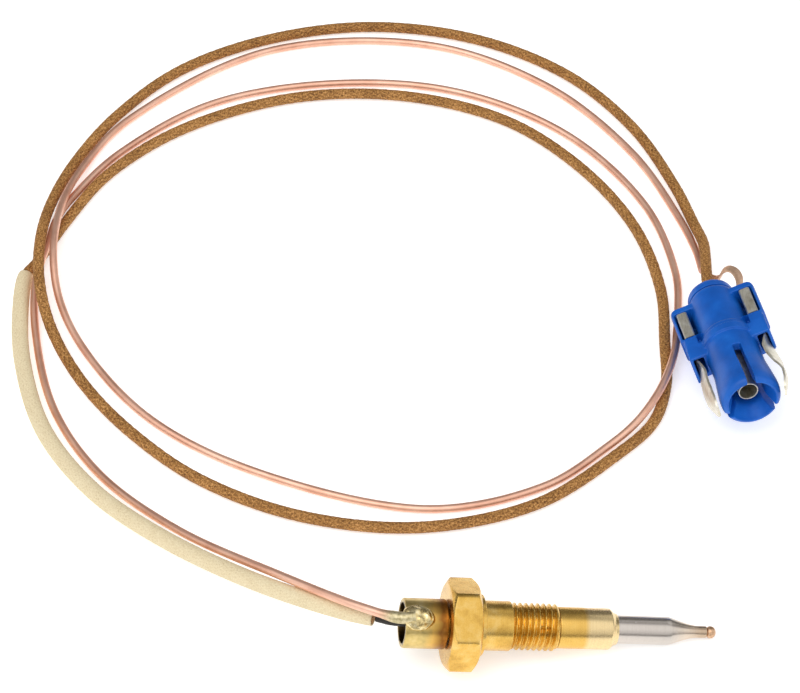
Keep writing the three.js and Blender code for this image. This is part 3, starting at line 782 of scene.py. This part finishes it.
def add_nose():
    """The nose sleeve, and its stem that runs back through the gland to a rim in the cup."""
    rear, rim, shoulder, seat = CUP_INSIDE - 0.5, CUP_INSIDE - 0.1, GLAND_END + 0.05, SHEATH_START - 0.2
    profile = fillet([
        (rear, STEM_BORE), (rear, STEM_RIM), (rim, STEM_RIM), (rim, STEM_RADIUS), (shoulder, STEM_RADIUS),
        (shoulder, NOSE_RADIUS, 0.12), (NOSE_END - 1.25, NOSE_RADIUS, 0.25), (NOSE_END - 0.6, 2.85, 0.25),
        (NOSE_END, 2.62, 0.1), (NOSE_END, NOSE_BORE), (seat, NOSE_BORE), (seat, STEM_BORE), (rear, STEM_BORE),
    ], 0.04, 3)
    return turned_piece("brass_nose", HEAD, profile, "nose_brass", ["nose_sleeve"], 96)


def add_sheath():
    """The probe: a straight tube swaged down to a fine neck."""
    profile = [(SHEATH_START, SHEATH_BORE), (SHEATH_START, SHEATH_RADIUS - 0.02),
               (NOSE_END - 0.05, SHEATH_RADIUS)]
    profile += [(station, SHEATH_RADIUS) for station in np.linspace(NOSE_END + 0.4, TAPER_START, 12)]
    for t in np.linspace(0.04, 1, 24):
        ease = 0.62 * (1 - (1 - t) ** 1.6) + 0.38 * t * t * (3 - 2 * t)
        profile.append((TAPER_START + (TAPER_END - TAPER_START) * t,
                        SHEATH_RADIUS + (NECK_RADIUS - SHEATH_RADIUS) * ease))
    profile += [(SHEATH_END, NECK_RADIUS), (SHEATH_END, NECK_BORE), (TAPER_END - 1, NECK_BORE),
                (TAPER_START - 0.5, SHEATH_BORE), (SHEATH_START, SHEATH_BORE)]
    return turned_piece("steel_probe", HEAD, profile, "probe_steel", ["probe_sheath"], 72)


def add_bead():
    """The hot junction: a weld bead, a little lopsided."""
    profile = [(SHEATH_END + 0.02, 0), (SHEATH_END + 0.02, 0.92)]
    middle = SHEATH_END + 0.85
    for angle in np.linspace(-60, 90, 18):
        turn = math.radians(angle)
        profile.append((middle + BEAD_REACH * math.sin(turn), BEAD_RADIUS * math.cos(turn)))
    profile[-1] = (middle + BEAD_REACH, 0)
    rings = turned_rings(profile, round_angles(48))
    rings[..., 1:] *= (1 + 0.05 * lumps(rings, 0.9, 5.0) - 0.02)[..., None]
    return add_piece("weld_bead", skin(rings), "bead_alloy", ["hot_junction_bead"], matrix=HEAD, sharp=60)


def add_cup():
    """The rear cup, its mouth notched for the copper lead."""
    profile = fillet([
        (CUP_FRONT, GLAND_BORE), (CUP_INSIDE, GLAND_BORE), (CUP_INSIDE, CUP_BORE), (CUP_REAR, CUP_BORE, 0.1),
        (CUP_REAR, CUP_RADIUS, 0.45), (CUP_FRONT - 0.1, CUP_RADIUS), (CUP_FRONT, CUP_RADIUS - 0.15),
        (CUP_FRONT, GLAND_BORE),
    ], 0.06, 4)
    cup = turned_piece("brass_cup", HEAD, profile, "cup_brass", ["rear_cup"], 96)
    half, length = 0.95, 2.6
    notch = block((CUP_REAR - 1, -half, CUP_BORE - 0.6), (CUP_REAR + length, half, CUP_RADIUS + 1))
    notch.data.transform(Matrix.Scale(MM, 4) @ HEAD @ Matrix.Rotation(ENTRY_TILT, 4, "X"))
    boolean(cup, notch, "DIFFERENCE")
    dress(cup, "cup_brass")
    return cup


def add_braze():
    """The puddle of braze that fixes the copper lead to the cup: a lumpy oval with a raised rim."""
    around = np.linspace(0, 2 * math.pi, 72, endpoint=False)
    share, angle = np.meshgrid(np.linspace(0, 1, 30), around, indexing="ij")
    edge = 1 + 0.05 * np.sin(2 * angle + 0.6) + 0.035 * np.sin(3 * angle + 2) + 0.02 * np.sin(7 * angle)
    along = PUDDLE_LENGTH * share * edge * np.cos(angle)
    across = PUDDLE_WIDTH * share * edge * np.sin(angle)
    height = 0.95 * (1 - share**3) ** 0.75 + 0.1 * np.exp(-((share - 0.86) / 0.06) ** 2)
    rough = np.array([noise.noise(Vector((a, b, 4.0)) * 0.95) for a, b in zip(along.ravel(), across.ravel())])
    height = height + 0.3 * rough.reshape(height.shape) * (1 - share**4)
    def on_cup(rise):
        turn = across / CUP_RADIUS + ENTRY_TILT
        radius = CUP_RADIUS + rise
        return np.stack([PUDDLE_MIDDLE + along, -radius * np.sin(turn), radius * np.cos(turn)], -1)
    top = on_cup(np.maximum(height, 0.02))
    under = on_cup(0 * height + 0.015)[::-1]
    made = skin(np.concatenate([top, under]))
    return add_piece("braze_puddle", made, "braze", ["braze_joint"], matrix=HEAD, sharp=75)


# ---- The plug: y runs back from the mating face, z is its top, x its right ----
REAR_END = 16.1
REAR_RADIUS = 4.6
BUSH_LENGTH = 1.9
BARREL_RADIUS = 4.85
BARREL_BORE = 3.1
BARREL_LENGTH = 14.3
LEG_RADIUS = 5.5
COLLAR_RADIUS = 5.25
BARREL_SLOTS = [(14, 0.75), (134, 0.6), (254, 0.6)]  # degrees from the top, half width
FLANGE_HALF = 7.7
FLANGE_FRONT = -0.8
FLANGE_THICK = 4.2
SKIRT_INSIDE = 7.15
SKIRT_REACH = {-1: -3.8, 1: -2.4}  # the left one is longer
EAR_HALF = 8.1
EAR_HEIGHT = 2.9
EAR_REAR = 12.7
CHANNEL_INSIDE = 4.8
CHANNEL_OUTSIDE = 7.5
CONTACT_RADIUS = 1.8
CONTACT_WALL = 0.22
CONTACT_REACH = 11.3
CLIP_THICK = 0.4
CLIP_HALF_HEIGHT = 1.7
SEAT_INSIDE = 5.1
SEAT_OUTSIDE = 7.15
SEAT_FRONT = 4.75
SEAT_REAR = 11.5
SEAT_MIDDLE = SEAT_OUTSIDE - CLIP_THICK / 2
BLADE_BOW = 0.45
# Each blade's line as (x, y) from its seat to its tip, for the left (-1, mirrored) and the right (1).
BLADE_LINES = {
    -1: [(SEAT_MIDDLE, 3.5), (6.7, 1.0), (6.6, -1.2), (7.0, -4.3), (7.2, -7.5), (6.95, -10.5), (6.35, -12.8),
         (6.15, -13.6)],
    1: [(SEAT_MIDDLE, 3.5), (6.7, 1.0), (6.7, -1.2), (6.9, -4), (7.1, -7), (7.35, -9.5), (7.1, -12.2),
        (6.3, -14.2), (6.05, -14.8)],
}
# How far each blade's top leans in or out along it, as (y, lean), because the blades are a little twisted.
BLADE_LEANS = {
    -1: [(-14, 0.0), (-12, 0.35), (-9, 0.8), (-4, 0.8), (-0.8, 0.1), (1, 0)],
    1: [(-15, -0.2), (-13, -0.45), (-11, -0.3), (-8.5, 0.5), (-5.5, 0.95), (-3, 0.8), (-0.8, 0.1), (1, 0)],
}
SIDE_VIEW = Matrix(((0, 1, 0, 0), (0, 0, 1, 0), (1, 0, 0, 0), (0, 0, 0, 1)))  # an outline of (z, y) along x


def rounded_outline(half_width, half_height):
    made = []
    corner, steps = 0.8, 6
    for sx, sz, start in ((1, 1, 0), (-1, 1, 90), (-1, -1, 180), (1, -1, 270)):
        for k in range(steps + 1):
            angle = math.radians(start + 90 * k / steps)
            made.append((sx * (half_width - corner) + corner * math.cos(angle),
                         sz * (half_height - corner) + corner * math.sin(angle)))
    return made


def side_solid(outline, low, high):
    """An outline of (z, y) carried along x."""
    solid = extruded(outline, low, high)
    solid.data.transform(SIDE_VIEW)
    return solid


def side_block(side, near, far, low, high):
    """A box to one side of the barrel, from near to far in x, and from low to high in (y, z)."""
    left, right = sorted((side * near, side * far))
    return block((left, *low), (right, *high))


def flange_solid():
    """The flange: its top falls gently from its rear rim, which dips forward beside the barrel."""
    flange = extruded(rounded_outline(FLANGE_HALF, EAR_HEIGHT), FLANGE_FRONT, FLANGE_THICK + 0.5)
    boolean(flange, side_solid([(2.3, -2.0), (2.95, 3.0), (5.0, 3.0), (5.0, -2.0)], -9, 9), "DIFFERENCE")
    boolean(flange, block((-5.0, 2.4, 1.2), (5.0, 6, 4)), "DIFFERENCE")
    boolean(flange, lathe_tool([(0.7, 0), (0.7, COLLAR_RADIUS), (2.4, COLLAR_RADIUS), (2.4, 0)]), "UNION")
    return flange


def ears_solid():
    """Both ears in one block, rounded at the rear corners as seen from above."""
    rear = EAR_REAR + 0.3
    ears = extruded(rounded_outline(EAR_HALF, EAR_HEIGHT), FLANGE_THICK + 0.35, rear)
    plan = fillet([(-EAR_HALF - 0.1, 4), (-EAR_HALF, rear), (EAR_HALF, rear), (EAR_HALF + 0.1, 4)], 1.5, 6)
    boolean(ears, extruded(plan, -4, 4, axis="Z"), "INTERSECT")
    return ears


def skirt_solid(side):
    """The thin wall that reaches forward from the flange, outside a clip."""
    reach = SKIRT_REACH[side]
    wall = fillet([(2.6, 3.5), (2.3, -0.6, 0.5), (0.6, reach, 0.5), (-1.0, reach, 0.5), (-2.7, 0.2),
                   (-2.7, 3.5)], 0.4, 3)
    return side_solid(wall, side * SKIRT_INSIDE, side * FLANGE_HALF)


def barrel_solid():
    """The barrel, from the swollen front of its legs back to the rear bush."""
    front, rear = -BARREL_LENGTH, REAR_END - BUSH_LENGTH - 0.1
    return lathe_tool(fillet([
        (front, 0), (front, LEG_RADIUS - 1.0, 0.3), (front + 0.7, LEG_RADIUS - 0.15),
        (front + 2.2, LEG_RADIUS), (front + 4.5, LEG_RADIUS - 0.2), (front + 8.5, BARREL_RADIUS),
        (3.5, BARREL_RADIUS), (3.6, REAR_RADIUS), (rear, REAR_RADIUS), (rear, 0),
    ], 0.8, 4))


def bore_solid():
    """The space inside the barrel: a funnel between the legs, then the contact's hole."""
    front, hole = -BARREL_LENGTH, CONTACT_RADIUS + 0.12
    return lathe_tool(fillet([
        (front - 1, 0), (front - 1, BARREL_RADIUS - 0.3), (front + 0.3, BARREL_RADIUS - 0.5),
        (front + 3.0, BARREL_BORE), (-1.5, BARREL_BORE), (-1.5, hole), (REAR_END, hole), (REAR_END, 0),
    ], 0.4, 4))


def soften(body):
    """Remeshes a solid finely and smooths it, so that every edge is softly rounded, then thins the mesh."""
    modify(body, "REMESH", mode="VOXEL", voxel_size=0.12)
    modify(body, "SMOOTH", factor=0.5, iterations=8)
    modify(body, "DECIMATE", ratio=0.35)
    apply_modifiers(body)


def add_housing():
    """The moulded body: joined and cut as solids, then softened."""
    body = flange_solid()
    boolean(body, ears_solid(), "UNION")
    for side in (-1, 1):
        boolean(body, skirt_solid(side), "UNION")
        boolean(body, side_block(side, 3.3, CHANNEL_OUTSIDE, (FLANGE_THICK + 0.4, -EAR_HEIGHT + 0.6),
                                 (EAR_REAR - 1.0, EAR_HEIGHT + 1)), "DIFFERENCE")
    boolean(body, barrel_solid(), "UNION")
    boolean(body, bore_solid(), "DIFFERENCE")
    for degrees, half in BARREL_SLOTS:
        slot = block((-half, -BARREL_LENGTH - 1, 1.5), (half, -3.4, BARREL_RADIUS + 2), math.radians(degrees))
        boolean(body, slot, "DIFFERENCE")
    for side in (-1, 1):
        boolean(body, side_block(side, CHANNEL_INSIDE + 0.4, CHANNEL_OUTSIDE - 0.4, (-4, -1.95),
                                 (FLANGE_THICK + 1, 1.95)), "DIFFERENCE")
    soften(body)
    body.data.transform(Matrix.Scale(MM, 4) @ PLUG)
    body.name = body.data.name = "plug_housing"
    dress(body, "blue_plastic", 60)
    return place(body, "blue_plastic", ["connector_housing"])


def add_rear_bush():
    start, hole = REAR_END - BUSH_LENGTH, 0.85
    profile = fillet([
        (REAR_END, hole), (start, hole), (start, REAR_RADIUS - 0.17, 0.1),
        (REAR_END, REAR_RADIUS - 0.25, 1.0), (REAR_END, hole),
    ], 0.12, 5)
    return turned_piece("plug_rear_bush", PLUG_TURNED, profile, "blue_plastic", ["connector_rear_bush"], 72)


def add_contact():
    """The socket contact: a rolled tube with a rounded lip."""
    lip, rear, inside = -CONTACT_REACH, 4, CONTACT_RADIUS - CONTACT_WALL
    profile = fillet([(rear, inside), (lip + 0.3, inside), (lip, inside + 0.04, 0.08),
                      (lip, CONTACT_RADIUS, 0.1), (rear, CONTACT_RADIUS), (rear, inside)], 0.05, 4)
    return turned_piece("socket_contact", PLUG_TURNED, profile, "spring_steel", ["contact_tube"], 64)


def strip(line, thickness):
    """A sheet-metal blade on a line of (x, y, half height, dish, lean): its section is dished and leans."""
    points = np.array([(x, y) for x, y, *_ in line], float)
    along = np.gradient(points, axis=0)
    along /= np.linalg.norm(along, axis=1)[:, None]
    outward = np.stack([-along[:, 1], along[:, 0]], 1)
    outward *= np.sign(outward[:, :1] + 1e-9)
    steps = np.linspace(-1, 1, 9)
    rings = []
    for point, out, (_, _, height, dish, lean) in zip(points, outward, line):
        def layer(offset, order):
            return [(*(point + out * (offset - dish * share**2 - lean * share)), height * share)
                    for share in order]
        rings.append(layer(thickness / 2, steps) + layer(-thickness / 2, steps[::-1]))
    return with_ends(np.array(rings))


def blade_solid(side):
    """A blade, straight in its seat, then dished and twisted where it is free, and rounded at its tip."""
    curve = centripetal([(x, y, 0.0) for x, y in BLADE_LINES[side]], 0, 0.25)
    tip = curve[-1, 1]
    line = [(SEAT_MIDDLE, y, CLIP_HALF_HEIGHT, 0.0, 0.0) for y in (SEAT_REAR, 7.8)]
    for x, y, _ in curve:
        nearness = max(0.0, 1 - (y - tip) / 2.4)  # to the tip
        free = min(1.0, max(0.0, (-0.5 - y) / 3))
        height = (CLIP_HALF_HEIGHT + 0.4 * free) * math.sqrt(max(0.05, 1 - 0.8 * nearness**2))
        lean = float(np.interp(y, *zip(*BLADE_LEANS[side])))
        line.append((x, y, height, BLADE_BOW * free * (1 - nearness), lean))
    return tool_from(*skin(strip(line, CLIP_THICK))[:2])


def seat_solid():
    """The folded seat: an upturned channel of sheet that fills the ear's channel."""
    roof, foot = EAR_HEIGHT - 0.05, -1.7
    near, far = SEAT_INSIDE + CLIP_THICK, SEAT_OUTSIDE - CLIP_THICK
    outside = fillet([(SEAT_INSIDE, foot), (SEAT_INSIDE, roof), (SEAT_OUTSIDE, roof), (SEAT_OUTSIDE, foot)],
                     0.5, 5)
    inside = fillet([(far, foot), (far, roof - CLIP_THICK), (near, roof - CLIP_THICK), (near, foot)], 0.2, 4)
    return extruded([*outside, *inside], SEAT_FRONT, SEAT_REAR)


def add_clip(side):
    """A spring clip: a folded seat in the ear's channel, and a blade bowed out beside the barrel."""
    clip = blade_solid(side)
    boolean(clip, seat_solid(), "UNION")
    if side < 0:
        clip.data.transform(Matrix.Scale(-1, 4, (1, 0, 0)))
        clip.data.flip_normals()
    clip.data.transform(Matrix.Scale(MM, 4) @ PLUG)
    modify(clip, "BEVEL", width=0.08 * MM, segments=2, limit_method="ANGLE", angle_limit=math.radians(50))
    apply_modifiers(clip)
    label = "right" if side > 0 else "left"
    clip.name = clip.data.name = "clip_blade_" + label
    dress(clip, "spring_steel", 40)
    return place(clip, "spring_steel", ["spring_clip_" + label], label + "_clip")


def make_materials():
    gold = [(0.3, (0.57, 0.33, 0.07)), (0.5, (0.76, 0.47, 0.11)), (0.7, (0.84, 0.58, 0.2))]
    paler = {"length": 37.5, "share": 0.75,
             "stops": [(0.0, (0.76, 0.47, 0.11)), (0.745, (0.8, 0.5, 0.13)), (0.77, (0.86, 0.7, 0.42))]}
    steel = [(0.0, (0.56, 0.48, 0.42)), (0.3, (0.64, 0.58, 0.53)), (0.74, (0.6, 0.55, 0.5)),
             (0.88, (0.7, 0.59, 0.48)), (0.98, (0.56, 0.42, 0.3))]
    brown = [(0.38, (0.1, 0.04, 0.012)), (0.47, (0.24, 0.108, 0.028)), (0.54, (0.38, 0.178, 0.048)),
             (0.64, (0.64, 0.34, 0.12))]
    cream = [(0.3, (0.55, 0.42, 0.24)), (0.45, (0.74, 0.61, 0.38)), (0.62, (0.84, 0.73, 0.5))]
    filler = [(0.3, (0.3, 0.21, 0.08)), (0.5, (0.7, 0.55, 0.26)), (0.7, (0.9, 0.78, 0.48))]
    bronze = [(0.35, (0.42, 0.24, 0.13)), (0.55, (0.66, 0.42, 0.26)), (0.72, (0.8, 0.6, 0.42))]
    blue = [(0.3, (0.002, 0.085, 0.42)), (0.55, (0.004, 0.11, 0.52)), (0.75, (0.01, 0.145, 0.6))]
    soot = [(0.3, (0.006, 0.005, 0.004)), (0.7, (0.035, 0.028, 0.022))]
    stone = [(0.3, (0.72, 0.67, 0.58)), (0.7, (0.9, 0.87, 0.8))]
    return {
        "gland_brass": turned_brass("gland_brass", gold),
        "nose_brass": turned_brass("nose_brass", gold, paler),
        "cup_brass": heated_brass_with_painted_shade(),
        "braze": mottled("braze_metal", 1.0, (0.9, 4, 0.65), filler, (0.35, 4), 0.03, ((0.4, 3), 0.14, 0.4)),
        "copper": drawn_copper(),
        "probe_steel": polished_steel("probe_steel", steel, length=24.5),
        "wire_alloy": rolled_steel("wire_alloy"),
        "bead_alloy": mottled("bead_metal", 1.0, (0.5, 4, 0.6), bronze, (0.2, 3), 0.02,
                              ((0.5, 4, 0.6), 0.25, 0.55)),
        "spring_steel": rolled_steel("rolled_steel"),
        "blue_plastic": mottled("moulded_plastic", 0.0, (4.5, 4, 0.55), blue, (0.22, 3), 0.014,
                                ((0.22, 3), 0.28, 0.5), specular=0.32),
        "brown_braid": glass_braid("brown_braid", brown, fleck_size=0.27, rough=0.75, depth=0.03),
        "cream_sleeve": glass_braid("cream_sleeve", cream, fleck_size=0.25, rough=0.8, depth=0.02),
        "dark_bush": mottled("charred_bush", 0.0, (0.4, 4), soot, (0.4, 4), 0.03, ((0.4, 4), 0.4, 0.8)),
        "ceramic": mottled("fired_ceramic", 0.0, (0.3, 4), stone, (0.3, 4), 0.02),
    }


def finish_kept_nodes():
    """Gives every CAD node the material of its slot, because some still show."""
    slots = {part["node"]: part["material_slot"] for part in frame["record"]["subparts"]}
    for name, node in frame["nodes"].items():
        node.data.materials.clear()
        node.data.materials.append(materials[slots[name]])


add_camera()
add_floor()
add_world()
add_light("key", place=(-0.25, -0.1, 0.7), target=(-0.02, 0.06, 0), size=(0.5, 0.5), watts=1.5)
add_light("fill", place=(0.5, 0.45, 0.5), target=(0, 0.06, 0), size=(0.4, 0.4), watts=0.25)
bpy.context.scene.view_settings.view_transform = "Standard"

materials = make_materials()
finish_kept_nodes()
braided_path = centripetal([*BRAIDED_ROUTE, *SLEEVE_ROUTE], BRAID_RADIUS, 0.2)
copper_path = centripetal([*COPPER_ROUTE, SOLDERED_END], COPPER_RADIUS, 0.4)[::-1]
sleeve_length = lengths(centripetal(SLEEVE_ROUTE, SLEEVE_RADIUS, 0.2))[-1]
from_plug = lengths(braided_path)
braided = add_braided_lead(braided_path)
sleeve = add_sleeve(braided_path[from_plug >= from_plug[-1] - sleeve_length])
core = add_core()
copper = add_copper_lead(copper_path)
tail = add_tail()
add_gland()
add_nose()
add_sheath()
add_bead()
add_cup()
add_braze()
plug_pieces = [add_housing(), add_rear_bush(), add_contact(), add_clip(-1), add_clip(1)]
plug_pieces += [frame["nodes"][name] for name in ("contact_crimp", "lead_core_front")]
